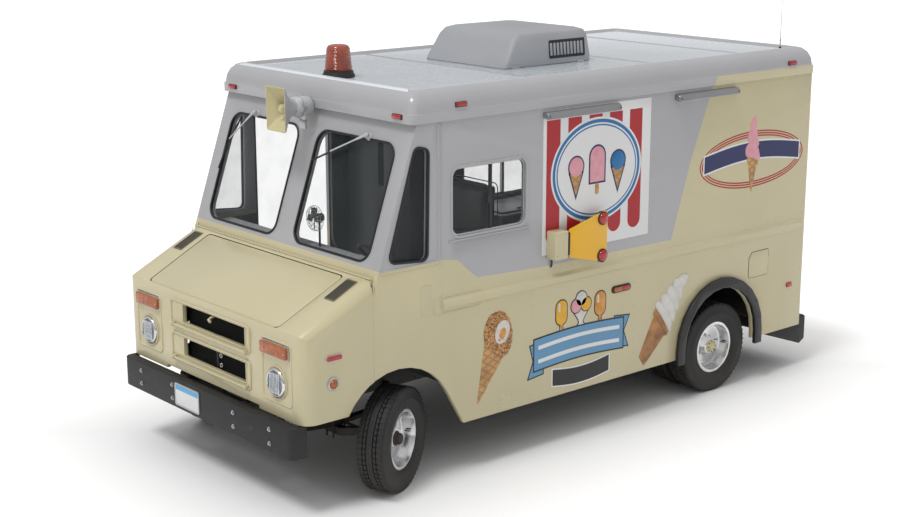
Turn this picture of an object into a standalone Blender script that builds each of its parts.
"""Ice cream truck: a forward-control step van with twin rear wheels, a sliding side door and a swing sign.

Metres, +Z up. The truck faces -Y and its left side is +X. The origin lies on the ground below the middle of the
whole truck. The front wheels stand turned to the left, the side door stands open and all else is closed.
"""

import math

import bmesh
import bpy
from mathutils import Matrix, Vector
from mathutils.geometry import tessellate_polygon

# --- Fits -----------------------------------------------------------------------------------------
GAP = 0.0003            # between pieces that touch
RUN = 0.007             # round a piece that moves
PIN_GAP = 0.004         # between a hub or eye and what carries it

# --- Overall --------------------------------------------------------------------------------------
LENGTH = 5.44
BODY_WIDTH = 2.272
WHEELBASE = 3.41
FRONT_OVERHANG = 0.822
REAR_BUMPER_DEPTH = 0.13
EAVES_Z = 2.60

# --- Body -----------------------------------------------------------------------------------------
WALL = 0.04
SKIRT_Z = 0.373
FLOOR_Z = 0.74
FLOOR_THICKNESS = 0.04
BELT_Z = 1.575
COWL_Z = 1.54
NOSE_STANDOFF = 0.085
CLIP_LENGTH = 0.575
CLIP_Z = 0.655
CLIP_WALL = 0.03
CLIP_FRONT_TOP_Z = 1.265
CLIP_ROUND = 0.10
POST_OFFSET = 0.565
SHOULDER_Z = 1.44
ARCH_CLEARANCE = 0.125
ARCH_CENTRE_Y = 0.045
ARCH_CENTRE_Z = 0.401
ARCH_SLANT_DEG = 30.0
REAR_ARCH_CLEARANCE = 0.068
REAR_ARCH_Z = 0.45
RAIL_RIB_Z = 1.278
RAIL_RIB_HEIGHT = 0.086
RAIL_RIB_STANDOUT = 0.025

# --- Windows: height range and corner radius ------------------------------------------------------
RAKE = 0.344
PANE_INNER_X = 0.116
PANE_OUTER_MARGIN = 0.146
PANE_Z = (1.641, 2.41)
PANE_RADIUS = 0.10
SIDE_WINDOW_START = 0.126
SIDE_WINDOW_LENGTH = 0.693
SIDE_WINDOW_Z = (1.743, 2.228)
SIDE_WINDOW_RADIUS = 0.07
SERVING_START = 2.165
SERVING_LENGTH = 0.95
SERVING_Z = (1.36, 2.15)
GLASS = 0.006

# --- Roof -----------------------------------------------------------------------------------------
GUTTER_STANDOUT = 0.016
GUTTER_HEIGHT = 0.04
GUTTER_TOP = 0.025
ROOF_RISE = 0.177
ROOF_ROUND = 0.10
ROOF_DISH = 0.026
ROOF_SKIN = 0.03
FRONT_EAVES_OVERHANG = 0.05

# --- Doors ----------------------------------------------------------------------------------------
DOORWAY_START = 0.02
DOORWAY_LENGTH = 0.69
DOORWAY_Z = (0.42, 2.40)
DOORWAY_FOOT_SETBACK = 0.295
DOORWAY_FOOT_RISE = 0.83
SIDE_DOOR_THICKNESS = 0.03
SIDE_DOOR_TRAVEL = 0.71
SIDE_DOOR_LAP = 0.02
REAR_OPENING_HALF = 0.66
REAR_OPENING_TOP = 2.30
REAR_SILL = 0.02
REAR_WINDOW_Z = (1.62, 2.12)

# --- Chassis and wheels ---------------------------------------------------------------------------
TYRE_RADIUS = 0.372
RAIL_X = 0.395
RAIL_WIDTH = 0.07
RAIL_Z = (max(0.49, TYRE_RADIUS + 0.07), 0.64)
TYRE_WIDTH = 0.22
RIM_RADIUS = 0.2047
RIM_FLANGE = 0.0165
RIM_WIDTH = 0.176
HAND_HOLES = 4
HAND_HOLE_RADIUS = 0.024
TWIN_SPACING = 0.26
REAR_TYRE_INSET = 0.021
KINGPIN_X = 0.91
SCRUB = 0.14
STEER_DEG = 26.35
STEERING_ARM = 0.17
SPRING_X = 0.50
SPRING_WIDTH = 0.06
SPRING_BOW = 0.07
REAR_SPRING_REACH = 0.60
FRONT_SPRING_X = 0.46
FRONT_SPRING_REACH = 0.50
BEAM_DROP = 0.07
EYE_HALF = 0.036
EYE_RADIUS = 0.032
AXLE_RADIUS = 0.045
DIFFERENTIAL_RADIUS = 0.14
HUB_PLATE_RADIUS = 0.10
ROUND_SIDES = 24

# --- Floor and inside -----------------------------------------------------------------------------
WHEEL_BOX_TOP = 0.93
WHEEL_BOX_SKIN = 0.012
FRONT_BOX_INNER = 0.50
REAR_BOX_INNER = 0.56
REAR_BOX_REACH = 0.46
ENGINE_HOLE_HALF = 0.33
DOOR_SLOT = 0.075
STEP_DEPTH = 0.30
ENGINE_COVER_HALF = 0.36
ENGINE_COVER_SKIN = 0.025
ENGINE_COVER_TOP = 1.14
DASH_Z = (1.36, 1.575)
DASH_DEPTH = 0.28
STEERING_WHEEL_RADIUS = 0.215
SEAT_X = 0.55
SEAT_HALF = 0.25
SEAT_Z = 1.16
SEAT_TOP_Z = 1.29
BACKREST_TOP_Z = 1.99
FREEZER_TOP = 1.335

# --- Engine, tank and exhaust -----------------------------------------------------------------------
ENGINE_HALF = 0.26
ENGINE_Z = (0.46, 0.98)
RADIATOR_HALF = 0.34
RADIATOR_Z = (0.70, 1.20)
TANK_X = (0.48, 0.98)
TANK_Z = (0.46, 0.68)
SHAFT_Z = 0.42
SHAFT_RADIUS = 0.038
PIPE_X = -0.28
PIPE_Z = 0.40
PIPE_RADIUS = 0.024
SILENCER_RADIUS = 0.075
SILENCER_LENGTH = 0.50

# --- Bumpers --------------------------------------------------------------------------------------
BUMPER_Z = (0.430, 0.650)
BUMPER_MARGIN = 0.043
BUMPER_DEPTH = 0.13
BUMPER_SKIN = 0.008
REAR_BUMPER_Z = (0.183, 0.430)

# --- Fittings -------------------------------------------------------------------------------------
HEADLAMP_X = 0.824
HEADLAMP_Z = 0.894
HEADLAMP_RADIUS = 0.105
GRILLE_X = (-0.35, 0.45)
GRILLE_Z = ((1.05, 1.19), (0.80, 0.94))
HOOD_FRONT_HALF = 0.827
HOOD_REAR_HALF = 0.844
HOOD_SETBACK = 0.012
HOOD_REAR_MARGIN = 0.03
HOOD_SKIN = 0.025
HOOD_HINGE_SETBACK = 0.04
COOLER_START = 1.21
COOLER_LENGTH = 0.926
COOLER_HALF = 0.467
SPEAKER_Z = 2.556
SPEAKER_REACH = 0.345
BEACON_HEIGHT = 0.235
ANTENNA_HEIGHT = 0.52
SIGN_START = 1.021
SIGN_STANDOFF = 0.104
SIGN_Z = 1.555

# --- Places worked out from the sizes -------------------------------------------------------------
FRONT_Y = -LENGTH / 2
REAR_END_Y = LENGTH / 2
REAR_Y = REAR_END_Y - REAR_BUMPER_DEPTH
NOSE_Y = FRONT_Y + NOSE_STANDOFF
SEAM_Y = NOSE_Y + CLIP_LENGTH
POST_Y = SEAM_Y + POST_OFFSET
FRONT_AXLE_Y = FRONT_Y + FRONT_OVERHANG
REAR_AXLE_Y = FRONT_AXLE_Y + WHEELBASE
HALF = BODY_WIDTH / 2
INNER = HALF - WALL
ARCH_RADIUS = TYRE_RADIUS + ARCH_CLEARANCE
REAR_ARCH_RADIUS = TYRE_RADIUS + REAR_ARCH_CLEARANCE
SHIELD_Y = SEAM_Y + 0.027
SLOPE = (COWL_Z + 0.01 - CLIP_FRONT_TOP_Z) / CLIP_LENGTH
SLOPE_ANGLE = math.atan(SLOPE)
HALF_GUTTER = HALF + GUTTER_STANDOUT
DOORWAY_Y = (POST_Y + DOORWAY_START, POST_Y + DOORWAY_START + DOORWAY_LENGTH)
ROOF_TOP = EAVES_Z + ROOF_RISE
ROOF_FLAT_Z = ROOF_TOP - ROOF_DISH
FIREWALL_Y = SEAM_Y + 0.06
CAB_FLOOR_END = FRONT_AXLE_Y + 0.47
ENGINE_COVER_REAR = FRONT_AXLE_Y + 0.66

X_AXIS = Vector((1, 0, 0))
Y_AXIS = Vector((0, 1, 0))
Z_AXIS = Vector((0, 0, 1))


# --- Materials ------------------------------------------------------------------------------------
def material(name, colour, roughness, metallic=0.0):
    """Returns the named Principled material, made once."""
    found = bpy.data.materials.get(name)
    if found:
        return found
    made = bpy.data.materials.new(name)
    made.use_nodes = True
    shader = made.node_tree.nodes["Principled BSDF"]
    shader.inputs["Base Color"].default_value = (*colour, 1.0)
    shader.inputs["Roughness"].default_value = roughness
    shader.inputs["Metallic"].default_value = metallic
    return made


CREAM = ("cream_paint", (0.58, 0.52, 0.33), 0.35)
GREY = ("grey_paint", (0.42, 0.42, 0.44), 0.35)
INSIDE = ("inner_panel", (0.30, 0.31, 0.33), 0.5)
BLACK = ("black_steel", (0.03, 0.03, 0.035), 0.5)
BUMPER_GREY = ("bumper_paint", (0.06, 0.06, 0.062), 0.45)
RUBBER = ("tyre_rubber", (0.02, 0.02, 0.02), 0.8)
CHROME = ("chrome", (0.75, 0.75, 0.76), 0.08, 1.0)
STEEL = ("cast_steel", (0.10, 0.10, 0.10), 0.55, 0.6)
CLEAR = ("clear_glass", (0.75, 0.8, 0.8), 0.05)
AMBER = ("amber_lens", (0.85, 0.22, 0.02), 0.2)
YELLOW = ("yellow_sign", (0.92, 0.55, 0.03), 0.4)
VINYL = ("black_vinyl", (0.025, 0.025, 0.028), 0.6)
SILVER = ("silver_housing", (0.45, 0.45, 0.45), 0.3, 0.8)


# --- Making shapes --------------------------------------------------------------------------------
def finish(name, bm, look, smooth=False):
    """Turns the bmesh into a named object with its material and outward faces."""
    bmesh.ops.recalc_face_normals(bm, faces=bm.faces)
    mesh = bpy.data.meshes.new(name)
    bm.to_mesh(mesh)
    bm.free()
    if smooth:
        mesh.shade_smooth()
        mesh.set_sharp_from_angle(angle=math.radians(35))
    mesh.materials.append(material(*look))
    made = bpy.data.objects.new(name, mesh)
    bpy.context.scene.collection.objects.link(made)
    return made


def arc(centre, radius, start_deg, end_deg, steps):
    """Points of an arc in the plane, both ends included."""
    turn = [math.radians(start_deg + (end_deg - start_deg) * i / steps) for i in range(steps + 1)]
    return [(centre[0] + radius * math.cos(a), centre[1] + radius * math.sin(a)) for a in turn]


def rounded(points, radius, steps=3):
    """The polygon with each corner replaced by an arc."""
    made = []
    count = len(points)
    for i in range(count):
        here = Vector(points[i])
        to_last = (Vector(points[i - 1]) - here).normalized()
        to_next = (Vector(points[(i + 1) % count]) - here).normalized()
        half = to_last.angle(to_next) / 2
        centre = here + (to_last + to_next).normalized() * radius / math.sin(half)
        reach = radius / math.tan(half)
        first = here + to_last * reach - centre
        sweep = first.angle_signed(here + to_next * reach - centre)
        for step in range(steps + 1):
            spoke = first.copy()
            spoke.rotate(Matrix.Rotation(-sweep * step / steps, 2))
            made.append(tuple(centre + spoke))
    return made


def rectangle(u0, u1, v0, v1):
    """Corner points of an upright rectangle."""
    return [(u0, v0), (u1, v0), (u1, v1), (u0, v1)]


def prism(name, outline, depth, origin, u_axis, v_axis, look, holes=(), smooth=False):
    """A flat outline with holes, drawn from the origin along u and v, and raised by depth along u x v."""
    loops = [outline, *holes]
    w_axis = u_axis.cross(v_axis)
    flat = [[Vector((u, v, 0)) for u, v in loop] for loop in loops]
    triangles = tessellate_polygon(flat)
    bm = bmesh.new()
    layers = []
    for lift in (0, depth):
        points = [origin + u_axis * u + v_axis * v + w_axis * lift for loop in loops for u, v in loop]
        layers.append([bm.verts.new(point) for point in points])
    for layer in layers:
        for triangle in triangles:
            bm.faces.new([layer[i] for i in triangle])
    start = 0
    for loop in loops:
        for i in range(len(loop)):
            a = start + i
            b = start + (i + 1) % len(loop)
            bm.faces.new([layers[0][a], layers[0][b], layers[1][b], layers[1][a]])
        start += len(loop)
    return finish(name, bm, look, smooth)


def side_plate(name, outline, x0, x1, look, holes=(), smooth=False):
    """A prism whose outline is in (y, z), from x0 to x1."""
    return prism(name, outline, x1 - x0, Vector((x0, 0, 0)), Y_AXIS, Z_AXIS, look, holes, smooth)


def cross_plate(name, outline, y0, y1, look, holes=(), smooth=False):
    """A prism whose outline is in (x, z), from y0 to y1."""
    return prism(name, outline, y1 - y0, Vector((0, y1, 0)), X_AXIS, Z_AXIS, look, holes, smooth)


def floor_plate(name, outline, z0, z1, look, holes=(), smooth=False):
    """A prism whose outline is in (x, y), from z0 to z1."""
    return prism(name, outline, z1 - z0, Vector((0, 0, z0)), X_AXIS, Y_AXIS, look, holes, smooth)


def box(name, low, high, look, bevel=0.0, steps=2):
    """A block between two corners, with its edges rounded where bevel is given."""
    bm = bmesh.new()
    bmesh.ops.create_cube(bm, size=1.0)
    size = [b - a for a, b in zip(low, high)]
    middle = [(a + b) / 2 for a, b in zip(low, high)]
    bmesh.ops.scale(bm, vec=size, verts=bm.verts)
    bmesh.ops.translate(bm, vec=middle, verts=bm.verts)
    if bevel:
        bmesh.ops.bevel(bm, geom=bm.edges[:], offset=bevel, segments=steps, profile=0.5, affect="EDGES")
    return finish(name, bm, look, bool(bevel))


def loft(name, rings, look, smooth=True):
    """A closed body through rings of equal point counts, with a flat face over the first and the last."""
    bm = bmesh.new()
    made = [[bm.verts.new(point) for point in ring] for ring in rings]
    for lower, upper in zip(made, made[1:]):
        for i in range(len(lower)):
            j = (i + 1) % len(lower)
            bm.faces.new([lower[i], lower[j], upper[j], upper[i]])
    bm.faces.new(made[0])
    bm.faces.new(made[-1])
    return finish(name, bm, look, smooth)


def lathe(name, profile, centre, axis, look, sides=ROUND_SIDES):
    """Turns a closed profile of (distance along the axis, radius) about the axis; radius 0 makes a pole."""
    turn = axis.to_track_quat("Z", "Y").to_matrix()
    bm = bmesh.new()
    rings = []
    for along, radius in profile:
        if radius == 0:
            rings.append([bm.verts.new(centre + axis * along)])
            continue
        ring = []
        for i in range(sides):
            a = 2 * math.pi * i / sides
            spoke = turn @ Vector((radius * math.cos(a), radius * math.sin(a), 0))
            ring.append(bm.verts.new(centre + axis * along + spoke))
        rings.append(ring)
    for first, second in zip(rings, rings[1:] + rings[:1]):
        for i in range(sides):
            j = (i + 1) % sides
            corners = [first[i % len(first)], first[j % len(first)], second[j % len(second)], second[i % len(second)]]
            corners = list(dict.fromkeys(corners))
            if len(corners) > 2:
                bm.faces.new(corners)
    return finish(name, bm, look, True)


def tube(name, points, radius, look, sides=8):
    """A round bar through the points, with flat ends."""
    points = [Vector(point) for point in points]
    rings = []
    side = None
    for i, point in enumerate(points):
        ahead = points[min(i + 1, len(points) - 1)]
        behind = points[max(i - 1, 0)]
        along = (ahead - behind).normalized()
        if side is None:
            side = along.orthogonal().normalized()
        side = (side - along * side.dot(along)).normalized()
        other = along.cross(side)
        turn = [2 * math.pi * k / sides for k in range(sides)]
        rings.append([point + side * radius * math.cos(a) + other * radius * math.sin(a) for a in turn])
    return loft(name, rings, look)


def boolean(target, others, operation):
    """Applies an exact Boolean with each of the others to the target, and removes them."""
    for other in others:
        change = target.modifiers.new(operation.title(), "BOOLEAN")
        change.operation = operation
        change.solver = "EXACT"
        change.object = other
        graph = bpy.context.evaluated_depsgraph_get()
        made = bpy.data.meshes.new_from_object(target.evaluated_get(graph))
        target.modifiers.remove(change)
        old = target.data
        target.data = made
        made.name = target.name
        bpy.data.meshes.remove(old)
        used = other.data
        bpy.data.objects.remove(other)
        bpy.data.meshes.remove(used)
    return target


def join(target, *others):
    """Adds the others to the target as one closed body."""
    return boolean(target, others, "UNION")


def cut(target, *others):
    """Takes the others out of the target."""
    return boolean(target, others, "DIFFERENCE")


def turned(made, angle_deg, centre):
    """Turns the object's mesh about a vertical line through the centre."""
    spin = Matrix.Translation(centre) @ Matrix.Rotation(math.radians(angle_deg), 4, "Z") @ Matrix.Translation(-centre)
    made.data.transform(spin)
    return made


def on_axis(made, origin):
    """Puts the object's origin on its joint's axis, leaving the mesh where it is."""
    made.data.transform(Matrix.Translation(-Vector(origin)))
    made.location = origin
    return made


# --- Body shell -----------------------------------------------------------------------------------
def front_arch():
    """The front wheel arch from the clip's lower edge, over the wheel and down to the skirt, as (y, z)."""
    centre = (FRONT_AXLE_Y + ARCH_CENTRE_Y, ARCH_CENTRE_Z)
    start = 180 - math.degrees(math.asin((CLIP_Z - ARCH_CENTRE_Z) / ARCH_RADIUS))
    points = arc(centre, ARCH_RADIUS, start, ARCH_SLANT_DEG, 10)
    end_y, end_z = points[-1]
    slant = math.tan(math.radians(ARCH_SLANT_DEG))
    points.append((end_y + (end_z - SKIRT_Z) * slant, SKIRT_Z))
    return points


def rear_arch(radius, foot_z):
    """A rear wheel arch with upright legs, from front foot to rear foot, as (y, z)."""
    over = arc((REAR_AXLE_Y, REAR_ARCH_Z), radius, 180, 0, 12)
    return [(REAR_AXLE_Y - radius, foot_z), *over, (REAR_AXLE_Y + radius, foot_z)]


def side_outline():
    """Outline of a body side in (y, z), from the front arch's foot round to the arch again."""
    arch = [point for point in front_arch() if point[0] > SEAM_Y + GAP]
    reach = SEAM_Y + GAP - FRONT_AXLE_Y - ARCH_CENTRE_Y
    seam_foot = (SEAM_Y + GAP, ARCH_CENTRE_Z + math.sqrt(ARCH_RADIUS ** 2 - reach ** 2))
    return [
        *rear_arch(REAR_ARCH_RADIUS, SKIRT_Z),
        (REAR_Y, SKIRT_Z),
        (REAR_Y, EAVES_Z - GAP),
        (POST_Y + GAP, EAVES_Z - GAP),
        (POST_Y + GAP, BELT_Z - GAP),
        (SEAM_Y + 0.035, BELT_Z - GAP),
        (SEAM_Y + 0.025, COWL_Z),
        (SEAM_Y + GAP, SHOULDER_Z),
        seam_foot,
        *arch,
    ]


def side_window_hole():
    """The left side window's outline in (y, z)."""
    start = POST_Y + SIDE_WINDOW_START
    return rounded(rectangle(start, start + SIDE_WINDOW_LENGTH, *SIDE_WINDOW_Z), SIDE_WINDOW_RADIUS)


def serving_hole():
    """The right serving window's outline in (y, z)."""
    start = POST_Y + SERVING_START
    return rounded(rectangle(start, start + SERVING_LENGTH, *SERVING_Z), 0.03, 2)


def shrunk(loop, amount):
    """The loop drawn in towards its middle by the amount on every side."""
    us = [u for u, _ in loop]
    vs = [v for _, v in loop]
    mid_u, mid_v = (min(us) + max(us)) / 2, (min(vs) + max(vs)) / 2
    scale_u = 1 - 2 * amount / (max(us) - min(us))
    scale_v = 1 - 2 * amount / (max(vs) - min(vs))
    return [(mid_u + (u - mid_u) * scale_u, mid_v + (v - mid_v) * scale_v) for u, v in loop]


def rub_rail(side):
    """The pressed rail along a body side, sunk into the panel it is joined to."""
    start = POST_Y + 0.03 if side > 0 else DOORWAY_Y[1] + 0.03
    section = [(HALF - 0.01, RAIL_RIB_Z - RAIL_RIB_HEIGHT / 2), (HALF, RAIL_RIB_Z - RAIL_RIB_HEIGHT / 2),
               (HALF + RAIL_RIB_STANDOUT, RAIL_RIB_Z - RAIL_RIB_HEIGHT / 4),
               (HALF + RAIL_RIB_STANDOUT, RAIL_RIB_Z + RAIL_RIB_HEIGHT / 4),
               (HALF, RAIL_RIB_Z + RAIL_RIB_HEIGHT / 2), (HALF - 0.01, RAIL_RIB_Z + RAIL_RIB_HEIGHT / 2)]
    section = [(side * x, z) for x, z in section]
    return cross_plate("rub_rail", section, start, REAR_Y - 0.045, CREAM)


def doorway_outline(lap, shift=0.0):
    """The doorway's outline in (y, z), its lower front corner slanted off the wheel arch; lap widens it."""
    y0, y1 = DOORWAY_Y[0] - lap + shift, DOORWAY_Y[1] + lap + shift
    z0, z1 = DOORWAY_Z[0] + lap, DOORWAY_Z[1] + lap
    return [(y0 + DOORWAY_FOOT_SETBACK, z0), (y1, z0), (y1, z1), (y0, z1), (y0, z0 + DOORWAY_FOOT_RISE)]


def body_sides():
    """Both side panels: windows and doorway cut, arches open, with their rub rails."""
    left = side_plate("body_side_left", side_outline(), INNER, HALF, CREAM, [side_window_hole()])
    join(left, rub_rail(1))
    holes = [doorway_outline(0.0), serving_hole()]
    right = side_plate("body_side_right", side_outline(), -HALF, -INNER, CREAM, holes)
    join(right, rub_rail(-1))
    middle = GLASS / 2
    centre = (HALF + INNER) / 2
    window = shrunk(side_window_hole(), GAP)
    side_plate("side_window_glass", window, centre - middle, centre + middle, CLEAR)
    serving = shrunk(serving_hole(), GAP)
    side_plate("serving_window_glass", serving, -centre - middle, -centre + middle, CLEAR)


def shield_y(z):
    """The windshield plane's outer face at a height."""
    return SHIELD_Y + RAKE * (z - COWL_Z)


def pane_hole(side):
    """A windshield pane's outline as (x, z), measured upright."""
    inner, outer = PANE_INNER_X, HALF - PANE_OUTER_MARGIN
    low, high = min(side * inner, side * outer), max(side * inner, side * outer)
    return rounded(rectangle(low, high, *PANE_Z), PANE_RADIUS, 4)


def raked(name, outline, lift, depth, look):
    """A prism on the raked windshield plane; lift is the distance of its outer face behind the frame's face."""
    lean = math.hypot(1, RAKE)
    v_axis = Vector((0, RAKE, 1)) / lean
    w_axis = X_AXIS.cross(v_axis)
    flat = [(x, (z - COWL_Z) * lean) for x, z in outline]
    origin = Vector((0, SHIELD_Y, COWL_Z)) - w_axis * (lift + depth)
    return prism(name, flat, depth, origin, X_AXIS, v_axis, look)


def quarter_outline():
    """The quarter window's outline in (y, z): leaning front edge, upright rear edge."""
    low, high = BELT_Z + 0.045, EAVES_Z - 0.19
    rear = POST_Y - 0.085
    corners = [(shield_y(low) + 0.075, low + 0.03), (rear - 0.015, low), (rear, high - 0.03), (rear - 0.115, high)]
    return rounded(corners, 0.04)


def windshield_frame():
    """The raked front frame with both panes cut, its side returns and the cowl flange, and its four glasses."""
    thick = WALL * math.hypot(1, RAKE)
    low, high = COWL_Z + GAP, EAVES_Z - GAP
    plane = [(shield_y(low), low), (shield_y(low) + thick, low), (shield_y(high) + thick, high), (shield_y(high), high)]
    frame = side_plate("windshield_frame", plane, -INNER - 0.01, INNER + 0.01, GREY)
    for side in (-1, 1):
        x0, x1 = sorted((side * INNER, side * HALF))
        low_side = BELT_Z
        returned = [(shield_y(low_side), low_side), (POST_Y, low_side), (POST_Y, high), (shield_y(high), high)]
        panel = side_plate("return", returned, x0, x1, GREY, [quarter_outline()])
        join(frame, panel)
    # The corner post below the belt would meet the body sides, so it is cut back to their inner faces.
    for side in (-1, 1):
        x0, x1 = sorted((side * (INNER - GAP), side * (HALF + 0.1)))
        cut(frame, box("corner", (x0, SEAM_Y - 0.1, COWL_Z - 0.1), (x1, POST_Y, BELT_Z), GREY))
    flange_rear = shield_y(COWL_Z) + thick
    flange = box("flange", (-INNER + GAP, SEAM_Y + GAP, COWL_Z - 0.03), (INNER - GAP, flange_rear, COWL_Z + 0.004), GREY)
    join(frame, flange)
    for side, name in ((1, "left"), (-1, "right")):
        cut(frame, raked("pane", pane_hole(side), -0.02, WALL + 0.04, GREY))
        raked(f"windshield_{name}", shrunk(pane_hole(side), GAP), WALL / 2 - GLASS / 2, GLASS, CLEAR)
        centre = side * (HALF + INNER) / 2
        low_x, high_x = centre - GLASS / 2, centre + GLASS / 2
        side_plate(f"quarter_glass_{name}", shrunk(quarter_outline(), GAP), low_x, high_x, CLEAR)


def clip_body(name, inset, bottom_z, rear_y):
    """The nose as a solid with rounded wings, drawn in by the inset."""
    half = HALF - inset
    front = NOSE_Y + inset
    drop = inset / math.cos(SLOPE_ANGLE)

    def top_z(y):
        return CLIP_FRONT_TOP_Z + SLOPE * (y - NOSE_Y) - drop

    outline = [(front, bottom_z), (rear_y, bottom_z), (rear_y, top_z(rear_y)), (front, top_z(front))]
    made = side_plate(name, outline, -half, half, CREAM)
    bm = bmesh.new()
    bm.from_mesh(made.data)
    bmesh.ops.dissolve_limit(bm, angle_limit=0.01, verts=bm.verts, edges=bm.edges)
    edges = []
    for edge in bm.edges:
        a, b = edge.verts[0].co, edge.verts[1].co
        on_side = abs(abs(a.x) - half) < 1e-5 and abs(a.x - b.x) < 1e-5
        low = min(a.z, b.z) < bottom_z + 1e-5 and abs(a.z - b.z) < 1e-5
        rear = min(a.y, b.y) > rear_y - 1e-5
        if on_side and not low and not rear:
            edges.append(edge)
    bmesh.ops.bevel(bm, geom=edges, offset=CLIP_ROUND - inset, segments=5, profile=0.5, affect="EDGES")
    bmesh.ops.recalc_face_normals(bm, faces=bm.faces)
    bm.to_mesh(made.data)
    bm.free()
    made.data.shade_smooth()
    made.data.set_sharp_from_angle(angle=math.radians(35))
    return made


def hood_outline(grow):
    """The hood's outline as (x, distance forwards from its rear edge along the slope)."""
    rear_y = SEAM_Y - HOOD_REAR_MARGIN
    reach = (rear_y - NOSE_Y - HOOD_SETBACK) / math.cos(SLOPE_ANGLE)
    corners = [(-HOOD_REAR_HALF - grow, -grow), (HOOD_REAR_HALF + grow, -grow),
               (HOOD_FRONT_HALF + grow, reach + grow), (-HOOD_FRONT_HALF - grow, reach + grow)]
    return rounded(corners, 0.035, 2)


def hood_plate(name, grow, above, below, look):
    """A prism on the nose's sloping top face."""
    rear_y = SEAM_Y - HOOD_REAR_MARGIN
    rear_z = CLIP_FRONT_TOP_Z + SLOPE * (rear_y - NOSE_Y)
    forward = Vector((0, -math.cos(SLOPE_ANGLE), -math.sin(SLOPE_ANGLE)))
    up = X_AXIS.cross(-forward)
    origin = Vector((0, rear_y, rear_z)) + up * above
    return prism(name, hood_outline(grow), above + below, origin, X_AXIS, forward, look)


def hood_hinge():
    """The hood's hinge line: a point below its rear edge."""
    rear_y = SEAM_Y - HOOD_REAR_MARGIN
    rear_z = CLIP_FRONT_TOP_Z + SLOPE * (rear_y - NOSE_Y)
    forward = Vector((0, -math.cos(SLOPE_ANGLE), -math.sin(SLOPE_ANGLE)))
    up = X_AXIS.cross(-forward)
    return Vector((0, rear_y, rear_z)) + forward * HOOD_HINGE_SETBACK - up * HOOD_SKIN / 2


def front_clip():
    """The nose shell with its grille slots, lamp holes, hood opening and wheel arches, and the hood in it."""
    clip = clip_body("front_clip", 0.0, CLIP_Z, SEAM_Y)
    cut(clip, clip_body("inside", CLIP_WALL, CLIP_Z - 0.1, SEAM_Y + 0.1))
    cut(clip, hood_plate("opening", RUN, 0.05, 0.08, CREAM))
    for z0, z1 in GRILLE_Z:
        slot = rounded(rectangle(*GRILLE_X, z0, z1), 0.015, 2)
        cut(clip, cross_plate("slot", slot, NOSE_Y - 0.05, NOSE_Y + 0.06, CREAM))
    for side in (-1, 1):
        hole = arc((side * HEADLAMP_X, HEADLAMP_Z), HEADLAMP_RADIUS + 0.001, 0, 360 - 15, 23)
        cut(clip, cross_plate("lamp_hole", hole, NOSE_Y - 0.05, NOSE_Y + 0.06, CREAM))
    centre = (FRONT_AXLE_Y + ARCH_CENTRE_Y, ARCH_CENTRE_Z)
    wheel_room = arc(centre, ARCH_RADIUS, 0, 360 - 10, 35)
    cut(clip, side_plate("arch", wheel_room, -HALF - 0.1, HALF + 0.1, CREAM))
    notch = (0.60, 0.025)
    low, high = (-notch[0], NOSE_Y - 0.1, CLIP_Z - 0.1), (notch[0], NOSE_Y + 0.1, CLIP_Z + notch[1])
    cut(clip, box("notch", low, high, CREAM))
    hood = hood_plate("hood", 0.0, 0.0, HOOD_SKIN, CREAM)
    on_axis(hood, hood_hinge())


def ring(z, side_inset, front_y, rear_y, radius):
    """A rounded rectangle at a height, as points."""
    half = HALF_GUTTER - side_inset
    return [Vector((x, y, z)) for x, y in rounded(rectangle(-half, half, front_y, rear_y), radius, 4)]


def roof():
    """The roof: a dished cap with a round edge over a gutter band that laps outside the body's top."""
    front = shield_y(EAVES_Z - GUTTER_HEIGHT) - FRONT_EAVES_OVERHANG
    rear = REAR_Y + GUTTER_STANDOUT
    edge_top = EAVES_Z + GUTTER_TOP
    low = EAVES_Z - GUTTER_HEIGHT

    def even(z, inset, radius):
        return ring(z, inset, front + inset, rear - inset, radius)

    rings = [even(ROOF_FLAT_Z, ROOF_ROUND + 0.035, 0.06), even(ROOF_TOP, ROOF_ROUND + 0.02, 0.06)]
    steps = 4
    for i in range(steps + 1):
        a = math.pi / 2 * i / steps
        rise = ROOF_TOP - edge_top - 0.005
        inset = ROOF_ROUND * (1 - math.sin(a)) + 0.003
        rings.append(even(edge_top + 0.005 + rise * math.cos(a), inset, 0.06))
    corner = 0.04
    rings += [even(edge_top, 0.003, corner), even(edge_top - 0.003, 0.0, corner), even(low, 0.0, corner)]
    lap = GUTTER_STANDOUT - GAP
    over = EAVES_Z + GAP
    rings.append(ring(low, lap, shield_y(low) - GAP, rear - lap, 0.001))
    rings.append(ring(over, lap, shield_y(over) - GAP, rear - lap, 0.001))
    rings.append(ring(over, lap + WALL, shield_y(over) + WALL + 0.03, rear - lap - WALL, 0.03))
    rings.append(ring(ROOF_FLAT_Z - ROOF_SKIN - 0.02, ROOF_ROUND + 0.02, shield_y(over) + 0.12, rear - 0.12, 0.03))
    rings.append(ring(ROOF_FLAT_Z - ROOF_SKIN, ROOF_ROUND + 0.08, shield_y(over) + 0.18, rear - 0.18, 0.03))
    loft("roof", rings, GREY)


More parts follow.
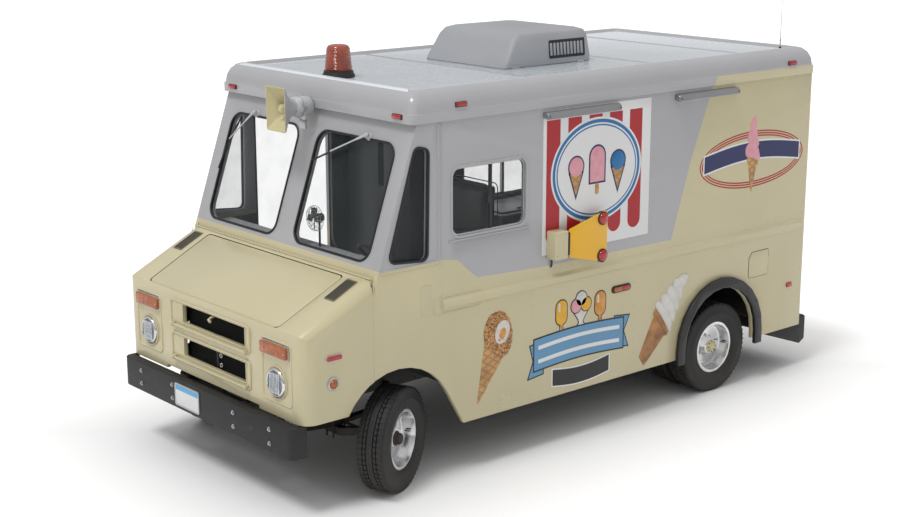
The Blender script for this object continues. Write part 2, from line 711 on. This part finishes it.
def rear_end():
    """The rear frame with its door opening and the two doors on their hinge lines, their windows cut."""
    half = INNER - GAP
    opening = rectangle(-REAR_OPENING_HALF, REAR_OPENING_HALF, FLOOR_Z + REAR_SILL, REAR_OPENING_TOP)
    outline = rectangle(-half, half, SKIRT_Z, EAVES_Z - GAP)
    cross_plate("rear_frame", outline, REAR_Y - WALL, REAR_Y, CREAM, [opening])
    low, high = FLOOR_Z + REAR_SILL + RUN, REAR_OPENING_TOP - RUN
    for side, name in ((1, "left"), (-1, "right")):
        hinge_x = side * (REAR_OPENING_HALF - RUN)
        x0, x1 = sorted((side * RUN / 2, hinge_x))
        middle = (x0 + x1) / 2
        width = (x1 - x0) * 0.33
        window = rounded(rectangle(middle - width, middle + width, *REAR_WINDOW_Z), 0.05)
        door = cross_plate(f"rear_door_{name}", rectangle(x0, x1, low, high), REAR_Y - WALL, REAR_Y, CREAM, [window])
        on_axis(door, Vector((hinge_x, REAR_Y, (low + high) / 2)))


def side_door():
    """The sliding door of the right side, slid back inside the wall."""
    outer = -INNER + 0.02
    y0 = DOORWAY_Y[0] - SIDE_DOOR_LAP + SIDE_DOOR_TRAVEL
    y1 = y0 + DOORWAY_LENGTH + 2 * SIDE_DOOR_LAP
    window = rounded(rectangle(y0 + 0.10, y1 - 0.12, BELT_Z + 0.14, DOORWAY_Z[1] - 0.15), 0.05)
    outline = doorway_outline(SIDE_DOOR_LAP, SIDE_DOOR_TRAVEL)
    door = side_plate("side_door", outline, outer, outer + SIDE_DOOR_THICKNESS, INSIDE, [window])
    on_axis(door, Vector((outer, (y0 + y1) / 2, sum(DOORWAY_Z) / 2)))


# --- Floor and inside -----------------------------------------------------------------------------

def wheel_box(name, y0, y1, inner_x, outer_x, open_front=False):
    """A box over a wheel, open below and on its outer side, and in front where the nose goes on."""
    x0, x1 = sorted((inner_x, outer_x))
    made = box(name, (x0, y0, FLOOR_Z - FLOOR_THICKNESS), (x1, y1, WHEEL_BOX_TOP), BLACK)
    skin = WHEEL_BOX_SKIN
    open_side = outer_x + math.copysign(0.2, outer_x)
    near = inner_x + math.copysign(skin, inner_x)
    a, b = sorted((near, open_side))
    low = FLOOR_Z - FLOOR_THICKNESS - 0.1
    front = y0 - 0.1 if open_front else y0 + skin
    return cut(made, box("room", (a, front, low), (b, y1 - skin, WHEEL_BOX_TOP - skin), BLACK))


def floor_pan():
    """The floor: plate, boxes over the four wheel wells, step wells, firewall and the bearers under it."""
    edge = INNER - GAP
    rear = REAR_Y - WALL - GAP
    under = FLOOR_Z - FLOOR_THICKNESS
    slot_rear = DOORWAY_Y[0] + SIDE_DOOR_TRAVEL + DOORWAY_LENGTH + 0.05
    pan = box("floor_pan", (-edge, CAB_FLOOR_END, under), (edge, rear, FLOOR_Z), BLACK)
    rear_y0, rear_y1 = REAR_AXLE_Y - REAR_BOX_REACH, REAR_AXLE_Y + REAR_BOX_REACH
    for side in (-1, 1):
        x0, x1 = sorted((side * (REAR_BOX_INNER + 0.002), side * (edge + 0.1)))
        cut(pan, box("well", (x0, rear_y0 + 0.002, under - 0.1), (x1, rear_y1 - 0.002, FLOOR_Z + 0.1), BLACK))
        join(pan, wheel_box("over_wheel", rear_y0, rear_y1, side * REAR_BOX_INNER, side * edge))
    step_x = -edge + STEP_DEPTH
    foot_y = DOORWAY_Y[0] + DOORWAY_FOOT_SETBACK
    well = (-edge - 0.1, foot_y, under - 0.1), (step_x, DOORWAY_Y[1], FLOOR_Z + 0.1)
    cut(pan, box("step_well", *well, BLACK))
    door_slot = (-edge - 0.1, CAB_FLOOR_END - 0.1, under - 0.1), (-edge + DOOR_SLOT, slot_rear, FLOOR_Z + 0.1)
    cut(pan, box("door_slot", *door_slot, BLACK))
    step_z = DOORWAY_Z[0] - 0.03
    riser = box("riser", (step_x - 0.001, foot_y, step_z), (step_x + 0.012, DOORWAY_Y[1], FLOOR_Z), BLACK)
    join(pan, riser)
    tread_low, tread_high = (-edge + DOOR_SLOT, foot_y, step_z), (step_x + 0.002, DOORWAY_Y[1], step_z + 0.02)
    tread = box("tread", tread_low, tread_high, BLACK)
    join(pan, tread)
    hole_half = ENGINE_HOLE_HALF
    for side in (-1, 1):
        x0, x1 = sorted((side * hole_half, side * (FRONT_BOX_INNER + 0.006)))
        join(pan, box("toe_board", (x0, FIREWALL_Y, under), (x1, CAB_FLOOR_END + 0.01, FLOOR_Z), BLACK))
        over = wheel_box("over_front", FIREWALL_Y, CAB_FLOOR_END + 0.006, side * FRONT_BOX_INNER, side * edge, True)
        join(pan, over)
    low, high = (-hole_half, CAB_FLOOR_END - 0.1, under - 0.1), (hole_half, ENGINE_COVER_REAR - 0.04, FLOOR_Z + 0.1)
    cut(pan, box("engine_room", low, high, BLACK))
    wall_top = COWL_Z - 0.035
    firewall = cross_plate(
        "firewall",
        [(-edge, WHEEL_BOX_TOP - 0.006), (-FRONT_BOX_INNER - 0.006, WHEEL_BOX_TOP - 0.006),
         (-FRONT_BOX_INNER - 0.006, under), (-hole_half, under), (-hole_half, 1.10), (hole_half, 1.10),
         (hole_half, under), (FRONT_BOX_INNER + 0.006, under), (FRONT_BOX_INNER + 0.006, WHEEL_BOX_TOP - 0.006),
         (edge, WHEEL_BOX_TOP - 0.006), (edge, wall_top), (-edge, wall_top)],
        FIREWALL_Y, FIREWALL_Y + 0.02, BLACK)
    join(pan, firewall)
    bearer_y = [CAB_FLOOR_END + 0.95, REAR_AXLE_Y - 0.62, REAR_AXLE_Y, REAR_AXLE_Y + 0.62]
    for y in bearer_y:
        half = edge - 0.35 if abs(y - REAR_AXLE_Y) > 0.1 else REAR_BOX_INNER - 0.01
        low = RAIL_Z[1] + GAP
        join(pan, box("bearer", (-half, y - 0.03, low), (half, y + 0.03, under + 0.01), BLACK))


def cab():
    """The engine cover, the dashboard and the steering wheel on its column."""
    top = FLOOR_Z + GAP
    front, rear = FIREWALL_Y + 0.02 + GAP, ENGINE_COVER_REAR
    brow = 0.22
    high = ENGINE_COVER_TOP
    outline = [(front, top), (rear, top), (rear - 0.05, high - 0.10), (front + brow, high), (front, high)]
    cover = side_plate("engine_cover", outline, -ENGINE_COVER_HALF, ENGINE_COVER_HALF, VINYL)
    skin = ENGINE_COVER_SKIN
    within = high - skin - 0.003
    room = [(front - 0.1, top - 0.1), (rear - 0.03, top - 0.1), (rear - 0.08, high - 0.10 - skin),
            (front + brow - 0.02, within), (front - 0.1, within)]
    cut(cover, side_plate("room", room, skin - ENGINE_COVER_HALF, ENGINE_COVER_HALF - skin, VINYL))

    face = FIREWALL_Y + 0.025
    low, high = DASH_Z
    dash = [(face, low), (face + 0.20, low), (face + DASH_DEPTH, low + 0.10), (face + 0.26, high - 0.02),
            (face + 0.012, high), (face, COWL_Z + 0.01)]
    side_plate("dashboard", dash, -INNER + 0.03, INNER - 0.03, INSIDE, smooth=False)

    wheel_at = Vector((SEAT_X, FIREWALL_Y + 0.50, 1.50))
    lean = Vector((0, 0.60, 0.80)).normalized()
    grip = 0.014
    turns = [2 * math.pi * i / 6 for i in range(6)]
    profile = [(grip * math.cos(a), STEERING_WHEEL_RADIUS + grip * math.sin(a)) for a in turns]
    steering = lathe("steering_wheel", profile, wheel_at, lean, VINYL)
    hub_radius = 0.04
    hub = [(-0.03, 0), (-0.03, hub_radius), (0.012, hub_radius), (0.012, 0)]
    join(steering, lathe("hub", hub, wheel_at, lean, VINYL, 12))
    for spoke in (X_AXIS, -X_AXIS, lean.cross(X_AXIS)):
        ends = [wheel_at + spoke * hub_radius / 2, wheel_at + spoke * (STEERING_WHEEL_RADIUS - 0.002)]
        join(steering, tube("spoke", ends, 0.008, VINYL, 6))
    join(steering, tube("column", [wheel_at - lean * 0.01, wheel_at - lean * 0.60], 0.024, VINYL, 8))


def seat():
    """The driver's seat: its steel box with the back's frame, the cushion and the backrest."""
    y = POST_Y + 0.52
    frame_y = (y + 0.21, y + 0.235)
    narrow = SEAT_HALF - 0.05
    low, high = (SEAT_X - narrow, y - 0.20, FLOOR_Z + GAP), (SEAT_X + narrow, y + 0.22, SEAT_Z)
    base = box("seat_base", low, high, BLACK, 0.01)
    frame_half = 0.16
    back = (SEAT_X - frame_half, frame_y[0], SEAT_Z - 0.06), (SEAT_X + frame_half, frame_y[1], 1.60)
    join(base, box("back_frame", *back, BLACK))
    low, high = (SEAT_X - SEAT_HALF, y - 0.27, SEAT_Z + GAP), (SEAT_X + SEAT_HALF, frame_y[0] - 0.002, SEAT_TOP_Z)
    box("seat_cushion", low, high, VINYL, 0.04, 3)
    low = (SEAT_X - SEAT_HALF, frame_y[1] + GAP, SEAT_TOP_Z - 0.05)
    high = (SEAT_X + SEAT_HALF, frame_y[1] + GAP + 0.12, BACKREST_TOP_Z)
    box("seat_backrest", low, high, VINYL, 0.045, 3)


def load_space():
    """The bulkhead behind the cab with its upright slot, and the freezer over the right wheel box."""
    top = FLOOR_Z + GAP
    slot = rectangle(-0.62, -0.55, BELT_Z + 0.18, 2.35)
    wall_y = DOORWAY_Y[1] + 0.14
    outline = rectangle(-INNER + 0.09, -0.22, top, ROOF_FLAT_Z - ROOF_SKIN - 0.03)
    cross_plate("cab_bulkhead", outline, wall_y, wall_y + 0.03, INSIDE, [slot])

    low = (-INNER + 0.006, POST_Y + SERVING_START - 0.05, top)
    high = (0.02 - REAR_BOX_INNER, REAR_Y - WALL - 0.25, FREEZER_TOP)
    freezer = box("freezer_chest", low, high, SILVER, 0.015)
    reach = REAR_BOX_REACH + 0.01
    low = (-INNER - 0.1, REAR_AXLE_Y - reach, top - 0.1)
    high = (0.01 - REAR_BOX_INNER, REAR_AXLE_Y + reach, WHEEL_BOX_TOP + 0.006)
    cut(freezer, box("over_box", low, high, SILVER))


# --- Chassis --------------------------------------------------------------------------------------
def chassis():
    """The frame rails with their cross members, the engine, the radiator and the tank."""
    front, rear = FRONT_Y + BUMPER_SKIN + GAP, REAR_Y - WALL - 0.02
    low, high = RAIL_Z
    rails = None
    for side in (-1, 1):
        x0, x1 = side * RAIL_X - RAIL_WIDTH / 2, side * RAIL_X + RAIL_WIDTH / 2
        rail = box("frame_rails", (x0, front, low), (x1, rear, high), BLACK)
        rails = join(rails, rail) if rails else rail
    member = 0.06
    cross = [NOSE_Y + 0.02, CAB_FLOOR_END + 0.25, REAR_AXLE_Y - 0.62, REAR_AXLE_Y + 0.55, rear - member]
    for y in cross:
        join(rails, box("member", (-RAIL_X, y, low + 0.02), (RAIL_X, y + member, high - 0.02), BLACK))
    engine = (-ENGINE_HALF, NOSE_Y + 0.28, ENGINE_Z[0]), (ENGINE_HALF, CAB_FLOOR_END + 0.02, ENGINE_Z[1])
    box("engine_block", *engine, STEEL)
    core_y = NOSE_Y + 0.09
    box("radiator", (-RADIATOR_HALF, core_y, RADIATOR_Z[0]), (RADIATOR_HALF, core_y + 0.05, RADIATOR_Z[1]), BLACK)
    tank = (TANK_X[0], REAR_AXLE_Y + 0.66, TANK_Z[0]), (TANK_X[1], REAR_Y - WALL - 0.05, TANK_Z[1])
    box("fuel_tank", *tank, BLACK, 0.03)


def power_line():
    """The gearbox with the propeller shaft behind it, and the exhaust with its silencer."""
    start = CAB_FLOOR_END + 0.10
    reach = REAR_AXLE_Y - 0.19 - start
    flange = 0.055
    profile = [(0, 0), (0, flange), (0.10, flange), (0.14, SHAFT_RADIUS), (reach, SHAFT_RADIUS), (reach, 0)]
    shaft = lathe("drive_shaft", profile, Vector((0, start, SHAFT_Z)), Y_AXIS, STEEL, 12)
    half = ENGINE_HALF / 2
    low, high = (-half, CAB_FLOOR_END + 0.02 + GAP, SHAFT_Z - 0.06), (half, start + 0.02, SHAFT_Z + 0.16)
    join(shaft, box("gearbox", low, high, STEEL))

    can_y = CAB_FLOOR_END + 0.55
    neck = SILENCER_RADIUS - 0.015
    ends = [(PIPE_X, CAB_FLOOR_END - 0.2, PIPE_Z), (PIPE_X, can_y + 0.1, PIPE_Z)]
    pipe = tube("exhaust", ends, PIPE_RADIUS, STEEL)
    profile = [(0, 0), (0, neck), (0.02, SILENCER_RADIUS), (SILENCER_LENGTH - 0.02, SILENCER_RADIUS),
               (SILENCER_LENGTH, neck), (SILENCER_LENGTH, 0)]
    join(pipe, lathe("silencer", profile, Vector((PIPE_X, can_y, PIPE_Z)), Y_AXIS, STEEL, 14))
    tail = [(PIPE_X, can_y + 0.4, PIPE_Z), (PIPE_X, REAR_AXLE_Y - 0.66, PIPE_Z),
            (PIPE_X - 0.16, REAR_AXLE_Y - 0.60, PIPE_Z), (-1.02, REAR_AXLE_Y - 0.56, PIPE_Z - 0.04)]
    join(pipe, tube("tail", tail, PIPE_RADIUS - 0.002, STEEL))


def leaf_spring(y, x, base_z, reach, name):
    """A leaf pack bowed along the truck with its plate on the axle."""
    rings = []
    steps = 8
    half = SPRING_WIDTH / 2
    for i in range(steps + 1):
        t = -1 + 2 * i / steps
        thick = 0.012 + 0.030 * (1 - abs(t))
        z = base_z + SPRING_BOW * t * t
        section = ((-half, 0), (half, 0), (half, thick), (-half, thick))
        rings.append([Vector((x + dx, y + reach * t, z + dz)) for dx, dz in section])
    return loft(name, rings, BLACK, False)


def spring_set(axle, y, x, base_z, reach, rise):
    """Joins one spring to an axle, with a shackle at each end that stops under the rail."""
    join(axle, leaf_spring(y, x, base_z, reach, "spring"))
    half = 0.02
    for end in (0.03 - reach, reach - 0.03):
        low = (x - half, y + end - half, base_z + SPRING_BOW - half)
        high = (x + half, y + end + half, RAIL_Z[0] + rise)
        join(axle, box("shackle", low, high, BLACK))


def axles():
    """The front beam and the rear housing, each with its springs and shackles joined to it."""
    z = TYRE_RADIUS
    y = FRONT_AXLE_Y
    end = KINGPIN_X
    flat = FRONT_SPRING_X + 0.09
    deep = 0.03
    right_half = [(flat, z - BEAM_DROP), (end - 0.12, z), (end - 0.02, z)]
    path = [(-x, h) for x, h in reversed(right_half)] + right_half
    upper = [(x, h + deep) for x, h in path]
    lower = [(x, h - deep) for x, h in path]
    beam = cross_plate("front_axle", lower + upper[::-1], y - deep, y + deep, STEEL)
    for side in (-1, 1):
        eye = [(-EYE_HALF, 0), (-EYE_HALF, EYE_RADIUS), (EYE_HALF, EYE_RADIUS), (EYE_HALF, 0)]
        join(beam, lathe("eye", eye, Vector((side * end, y, z)), Z_AXIS, STEEL, 12))
        spring_set(beam, y, side * FRONT_SPRING_X, z - BEAM_DROP + 0.025, FRONT_SPRING_REACH, 0.06)

    y = REAR_AXLE_Y
    stub = rear_tyre_x(1) - TYRE_WIDTH / 2 - 0.005
    flange = 0.012
    half = [(0.10, DIFFERENTIAL_RADIUS), (0.17, AXLE_RADIUS + 0.005), (stub - flange, AXLE_RADIUS),
            (stub - flange, HUB_PLATE_RADIUS), (stub, HUB_PLATE_RADIUS), (stub, 0)]
    profile = [(-along, radius) for along, radius in reversed(half)] + half
    housing = lathe("rear_axle", profile, Vector((0, y, z)), X_AXIS, STEEL, 16)
    nose = [(-0.18, 0), (-0.18, 0.05), (0, 0.08), (0, 0)]
    join(housing, lathe("nose", nose, Vector((0, y, z + 0.02)), Y_AXIS, STEEL, 12))
    for side in (-1, 1):
        spring_set(housing, y, side * SPRING_X, z + 0.035, REAR_SPRING_REACH, 0.08)


# --- Wheels and steering --------------------------------------------------------------------------
def rear_tyre_x(which):
    """Centre plane of a rear tyre: 0 is the outer one, 1 the inner one."""
    return HALF - REAR_TYRE_INSET - TYRE_WIDTH / 2 - which * TWIN_SPACING


def tyre(name, centre, axis):
    """A tyre as one closed ring whose beads lie on the rim."""
    bead = RIM_WIDTH / 2 - 0.009
    half = TYRE_WIDTH / 2
    seat = RIM_RADIUS + GAP
    depth = TYRE_RADIUS - seat
    side = [(bead, seat), (bead, seat + RIM_FLANGE + 0.002), (half * 0.93, seat + 0.20 * depth),
            (half, seat + 0.48 * depth), (half * 0.95, seat + 0.78 * depth), (half * 0.76, TYRE_RADIUS - 0.006)]
    profile = [(-a, r) for a, r in side] + [(0, TYRE_RADIUS)] + side[::-1]
    return lathe(name, profile, centre, axis, RUBBER)


def front_rim_profile():
    """A dished front rim: barrel, deep-set disc and hub, as (distance outwards, radius)."""
    half = RIM_WIDTH / 2
    lip = RIM_RADIUS + RIM_FLANGE
    hub_back = PIN_GAP + 0.085 - SCRUB
    return [(hub_back, 0), (hub_back, 0.055), (-0.035, 0.060), (-0.035, 0.145), (-0.045, 0.185), (-half, 0.190),
            (-half, lip), (-half + 0.008, lip), (-half + 0.008, RIM_RADIUS), (half - 0.008, RIM_RADIUS),
            (half - 0.008, lip), (half, lip), (half, 0.192), (-0.005, 0.182), (-0.022, 0.145), (-0.020, 0.075),
            (0.020, 0.062), (0.030, 0.050), (0.030, 0)]


def rear_rim_profile():
    """The twin rear rims and the hub they share, as (distance outwards from the outer rim's middle, radius)."""
    half = RIM_WIDTH / 2
    lip = RIM_RADIUS + RIM_FLANGE
    inner = -TWIN_SPACING
    back = inner - TYRE_WIDTH / 2 + PIN_GAP - 0.005
    return [(back, 0), (back, 0.09), (inner + 0.03, 0.10), (inner + 0.07, 0.178), (inner - half, 0.190),
            (inner - half, lip), (inner - half + 0.008, lip), (inner - half + 0.008, RIM_RADIUS),
            (inner + half - 0.008, RIM_RADIUS), (inner + half - 0.008, lip), (inner + half, lip),
            (inner + half + 0.004, 0.185), (-half - 0.004, 0.185), (-half, lip), (-half + 0.008, lip),
            (-half + 0.008, RIM_RADIUS), (half - 0.008, RIM_RADIUS), (half - 0.008, lip), (half, lip),
            (half, 0.192), (-0.005, 0.182), (-0.015, 0.145), (-0.012, 0.085), (0.045, 0.066), (0.055, 0.050),
            (0.055, 0)]


def hand_holes(rim, centre, axis, radius, depth):
    """Cuts the round holes through the rim's disc."""
    side = Z_AXIS
    other = axis.cross(side)
    for i in range(HAND_HOLES):
        a = math.pi / 4 + 2 * math.pi * i / HAND_HOLES
        at = centre + (side * math.cos(a) + other * math.sin(a)) * radius
        hole = [(depth[0], 0), (depth[0], HAND_HOLE_RADIUS), (depth[1], HAND_HOLE_RADIUS), (depth[1], 0)]
        cut(rim, lathe("hole", hole, at, axis, CHROME, 10))


def wheels():
    """All wheels: two steered singles and two twins, each with its origin on its own axle."""
    for side, name in ((1, "left"), (-1, "right")):
        kingpin = Vector((side * KINGPIN_X, FRONT_AXLE_Y, TYRE_RADIUS))
        out = Matrix.Rotation(math.radians(STEER_DEG), 3, "Z") @ Vector((side, 0, 0))
        centre = kingpin + out * SCRUB
        on_axis(tyre(f"tyre_front_{name}", centre, out), centre)
        rim = lathe(f"rim_front_{name}", front_rim_profile(), centre, out, CHROME)
        hand_holes(rim, centre, out, 0.112, (-0.06, 0.01))
        on_axis(rim, centre)

        out = Vector((side, 0, 0))
        centre = Vector((side * rear_tyre_x(0), REAR_AXLE_Y, TYRE_RADIUS))
        inner = Vector((side * rear_tyre_x(1), REAR_AXLE_Y, TYRE_RADIUS))
        on_axis(tyre(f"tyre_rear_{name}_outer", centre, out), centre)
        on_axis(tyre(f"tyre_rear_{name}_inner", inner, out), centre)
        rim = lathe(f"rim_rear_{name}", rear_rim_profile(), centre, out, CHROME)
        on_axis(rim, centre)


def knuckles():
    """Both steering knuckles, forked over the beam's eyes, and the tie rod between their arms."""
    lug_low, lug_high = EYE_HALF + PIN_GAP, EYE_HALF + PIN_GAP + 0.03
    rod_eye = 0.014
    pins = []
    for side, name in ((1, "left"), (-1, "right")):
        pin = Vector((side * KINGPIN_X, FRONT_AXLE_Y, TYRE_RADIUS))

        def part(xs, ys, zs):
            x0, x1 = sorted((side * xs[0], side * xs[1]))
            return box("part", pin + Vector((x0, ys[0], zs[0])), pin + Vector((x1, ys[1], zs[1])), STEEL)

        knuckle = part((0.042, 0.066), (-0.045, 0.045), (-0.075, 0.075))
        knuckle.name = f"knuckle_{name}"
        join(knuckle, part((-0.03, 0.05), (-0.03, 0.03), (lug_low, lug_high)))
        join(knuckle, part((-0.03, 0.05), (-0.03, 0.03), (-lug_high, -lug_low)))
        join(knuckle, part((-0.012, 0.012), (0.0, STEERING_ARM + 0.02), (-lug_high, -lug_high + 0.018)))
        spindle = [(0.06, 0), (0.06, 0.032), (0.085, 0.030), (0.085, 0)]
        join(knuckle, lathe("spindle", spindle, pin, Vector((side, 0, 0)), STEEL, 12))
        turned(knuckle, STEER_DEG, pin)
        on_axis(knuckle, pin)
        arm = Matrix.Rotation(math.radians(STEER_DEG), 3, "Z") @ Vector((0, STEERING_ARM, 0))
        pins.append(pin + arm + Vector((0, 0, -lug_high - PIN_GAP - rod_eye)))
    rod = tube("tie_rod", [pins[0], pins[1]], 0.012, STEEL)
    eye = [(-rod_eye, 0), (-rod_eye, 0.02), (rod_eye, 0.02), (rod_eye, 0)]
    for pin in pins:
        join(rod, lathe("eye", eye, pin, Z_AXIS, STEEL, 10))
    on_axis(rod, pins[0])


# --- Outside fittings -----------------------------------------------------------------------------
def bumpers():
    """The front channel bumper with its wrapped ends and the rear step bumper with its side plates."""
    half = HALF - BUMPER_MARGIN
    back = FRONT_Y + BUMPER_DEPTH

    def plan(inset, rear):
        h = half - inset
        f = FRONT_Y + inset
        turn = 0.05 - inset
        corner = arc((h - turn, f + turn), turn, -90, 0, 3)
        mirrored = [(-x, y) for x, y in reversed(corner)]
        return [*mirrored, *corner, (h, rear), (-h, rear)]

    front = floor_plate("front_bumper", plan(0, back), *BUMPER_Z, BUMPER_GREY)
    inner = plan(BUMPER_SKIN, back + 0.1)
    cut(front, floor_plate("hollow", inner, BUMPER_Z[0] + BUMPER_SKIN, BUMPER_Z[1] - BUMPER_SKIN, BUMPER_GREY))
    # The channel's lips stop short of the nose and the rails pass between them.
    low, high = (-half + 0.02, NOSE_Y - 0.005, BUMPER_Z[0] - 0.1), (half - 0.02, back + 0.1, BUMPER_Z[1] + 0.1)
    cut(front, box("lip", low, high, BUMPER_GREY))

    low, high = REAR_BUMPER_Z
    face = REAR_Y + 0.012
    bar = box("rear_bumper", (-HALF + 0.04, face, low + 0.03), (HALF - 0.04, REAR_END_Y, high), BLACK, 0.012)
    for side in (-1, 1):
        x0, x1 = sorted((side * (HALF - 0.035), side * (HALF - 0.07)))
        outline = [(REAR_Y - 0.40, SKIRT_Z - 0.028), (REAR_END_Y - 0.07, low), (REAR_END_Y - 0.004, low + 0.035),
                   (REAR_END_Y - 0.004, high - 0.01), (face + 0.004, high - 0.01), (face + 0.004, SKIRT_Z - GAP),
                   (REAR_Y - 0.40, SKIRT_Z - GAP)]
        join(bar, side_plate("end", outline, x0, x1, BLACK))
    for side in (-1, 1):
        x = side * RAIL_X
        join(bar, box("arm", (x - 0.03, REAR_Y - 0.3, low + 0.06), (x + 0.03, face + 0.02, SKIRT_Z - 0.01), BLACK))
        join(bar, box("hanger", (x - 0.03, REAR_Y - 0.3, low + 0.08), (x + 0.03, REAR_Y - 0.25, RAIL_Z[0] - GAP), BLACK))


def flares():
    """The black flares round the rear wheel arches."""
    width = 0.085
    foot = 0.33
    outer = rear_arch(REAR_ARCH_RADIUS + width, foot)
    inner = rear_arch(REAR_ARCH_RADIUS + 0.001, foot)
    for side, name in ((1, "left"), (-1, "right")):
        x0, x1 = sorted((side * (HALF + GAP), side * (HALF + 0.035)))
        side_plate(f"fender_flare_{name}", outer + inner[::-1], x0, x1, BLACK)


def lamps():
    """The headlamps in the nose."""
    for side, name in ((1, "left"), (-1, "right")):
        profile = [(-0.06, 0), (-0.06, HEADLAMP_RADIUS * 0.7), (-0.03, HEADLAMP_RADIUS), (0.006, HEADLAMP_RADIUS),
                   (0.018, HEADLAMP_RADIUS * 0.8), (0.030, HEADLAMP_RADIUS * 0.4), (0.033, 0)]
        lathe(f"headlamp_{name}", profile, Vector((side * HEADLAMP_X, NOSE_Y, HEADLAMP_Z)), -Y_AXIS, CLEAR)


def roof_air_conditioner():
    """The tapered air conditioner on the roof, as rings of (rise, side, front and rear draw-in, corner)."""
    front = POST_Y + COOLER_START
    rear = front + COOLER_LENGTH
    levels = [(0.0, 0.0, 0.0, 0.0, 0.03), (0.05, 0.004, 0.03, 0.0, 0.03), (0.20, 0.018, 0.115, 0.012, 0.05),
              (0.245, 0.035, 0.16, 0.03, 0.05), (0.262, 0.08, 0.22, 0.08, 0.05)]
    rings = []
    for up, side_in, front_in, rear_in, radius in levels:
        half = COOLER_HALF - side_in
        outline = rounded(rectangle(-half, half, front + front_in, rear - rear_in), radius, 3)
        rings.append([Vector((x, y, ROOF_FLAT_Z + GAP + up)) for x, y in outline])
    loft("roof_air_conditioner", rings, GREY)


def loudspeaker():
    """The square horn over the windshield with its driver, its stem and its foot on the frame."""
    mouth_y = shield_y(SPEAKER_Z) - SPEAKER_REACH
    sections = [(mouth_y, 0.116, 0.172), (mouth_y + 0.02, 0.112, 0.168), (mouth_y + 0.10, 0.085, 0.11),
                (mouth_y + 0.17, 0.06, 0.062)]

    def horn(inset, count):
        rings = []
        for y, across, up in sections[:count]:
            outline = rounded(rectangle(-across + inset, across - inset, -up + inset, up - inset), 0.02, 2)
            rings.append([Vector((u, y, SPEAKER_Z + v)) for u, v in outline])
        return rings

    speaker = loft("loudspeaker", horn(0.0, 4), GREY)
    hollow = horn(0.006, 3)
    hollow[0] = [point - Y_AXIS * 0.02 for point in hollow[0]]
    cut(speaker, loft("hollow", hollow, GREY))
    driver = [(0, 0), (0, 0.055), (0.03, 0.085), (0.11, 0.085), (0.125, 0.06), (0.125, 0)]
    join(speaker, lathe("driver", driver, Vector((0, mouth_y + 0.155, SPEAKER_Z)), Y_AXIS, GREY, 16))
    foot_z = 2.45
    foot_y = shield_y(foot_z) - GAP - 0.004
    stem = (-0.02, foot_y - 0.045, foot_z - 0.02), (0.02, foot_y - 0.015, foot_z + 0.05)
    foot = (-0.03, foot_y - 0.03, foot_z - 0.04), (0.03, foot_y - 0.012, foot_z + 0.03)
    join(speaker, box("stem", *stem, GREY))
    join(speaker, box("foot", *foot, GREY))


def beacon_and_antenna():
    """The amber beacon at the front of the roof and the whip aerial at its rear left corner."""
    z = ROOF_FLAT_Z + GAP
    dome = [(0, 0), (0, 0.118), (0.03, 0.115), (0.035, 0.098), (0.20, 0.084), (0.225, 0.075), (BEACON_HEIGHT, 0)]
    lathe("beacon", dome, Vector((0, POST_Y + 0.02, z)), Z_AXIS, AMBER)
    foot = Vector((HALF_GUTTER - 0.156, REAR_Y - 0.267, z))
    whip = [(0, 0), (0, 0.018), (0.02, 0.014), (0.03, 0.004), (ANTENNA_HEIGHT, 0.0022), (ANTENNA_HEIGHT, 0)]
    lathe("antenna", whip, foot, Z_AXIS, BLACK, 8)


def sign():
    """The swing sign: its box on the body side and the plate that swings out from it."""
    y0 = POST_Y + SIGN_START
    y1 = y0 + 0.13
    x0, x1 = HALF + GAP, HALF + SIGN_STANDOFF
    box("sign_bracket", (x0, y0, SIGN_Z - 0.105), (x1, y1, SIGN_Z + 0.105), CREAM, 0.008)
    hinge = Vector((HALF + 0.08, y1 + 0.017, SIGN_Z))
    start, end = RUN, 0.40
    plate = rounded([(start, -0.104), (end, -0.20), (end, 0.20), (start, 0.104)], 0.02, 3)
    outline = [(hinge.y + y, hinge.z + z) for y, z in plate]
    made = side_plate("sign_plate", outline, hinge.x - 0.008, hinge.x + 0.008, YELLOW)
    on_axis(made, hinge)


def clear_scene():
    """Removes whatever the scene holds."""
    for old in list(bpy.data.objects):
        bpy.data.objects.remove(old)


def main():
    """Builds the whole truck."""
    clear_scene()
    body_sides()
    windshield_frame()
    front_clip()
    roof()
    rear_end()
    side_door()
    floor_pan()
    cab()
    seat()
    load_space()
    chassis()
    power_line()
    axles()
    wheels()
    knuckles()
    bumpers()
    flares()
    lamps()
    roof_air_conditioner()
    loudspeaker()
    beacon_and_antenna()
    sign()


main()
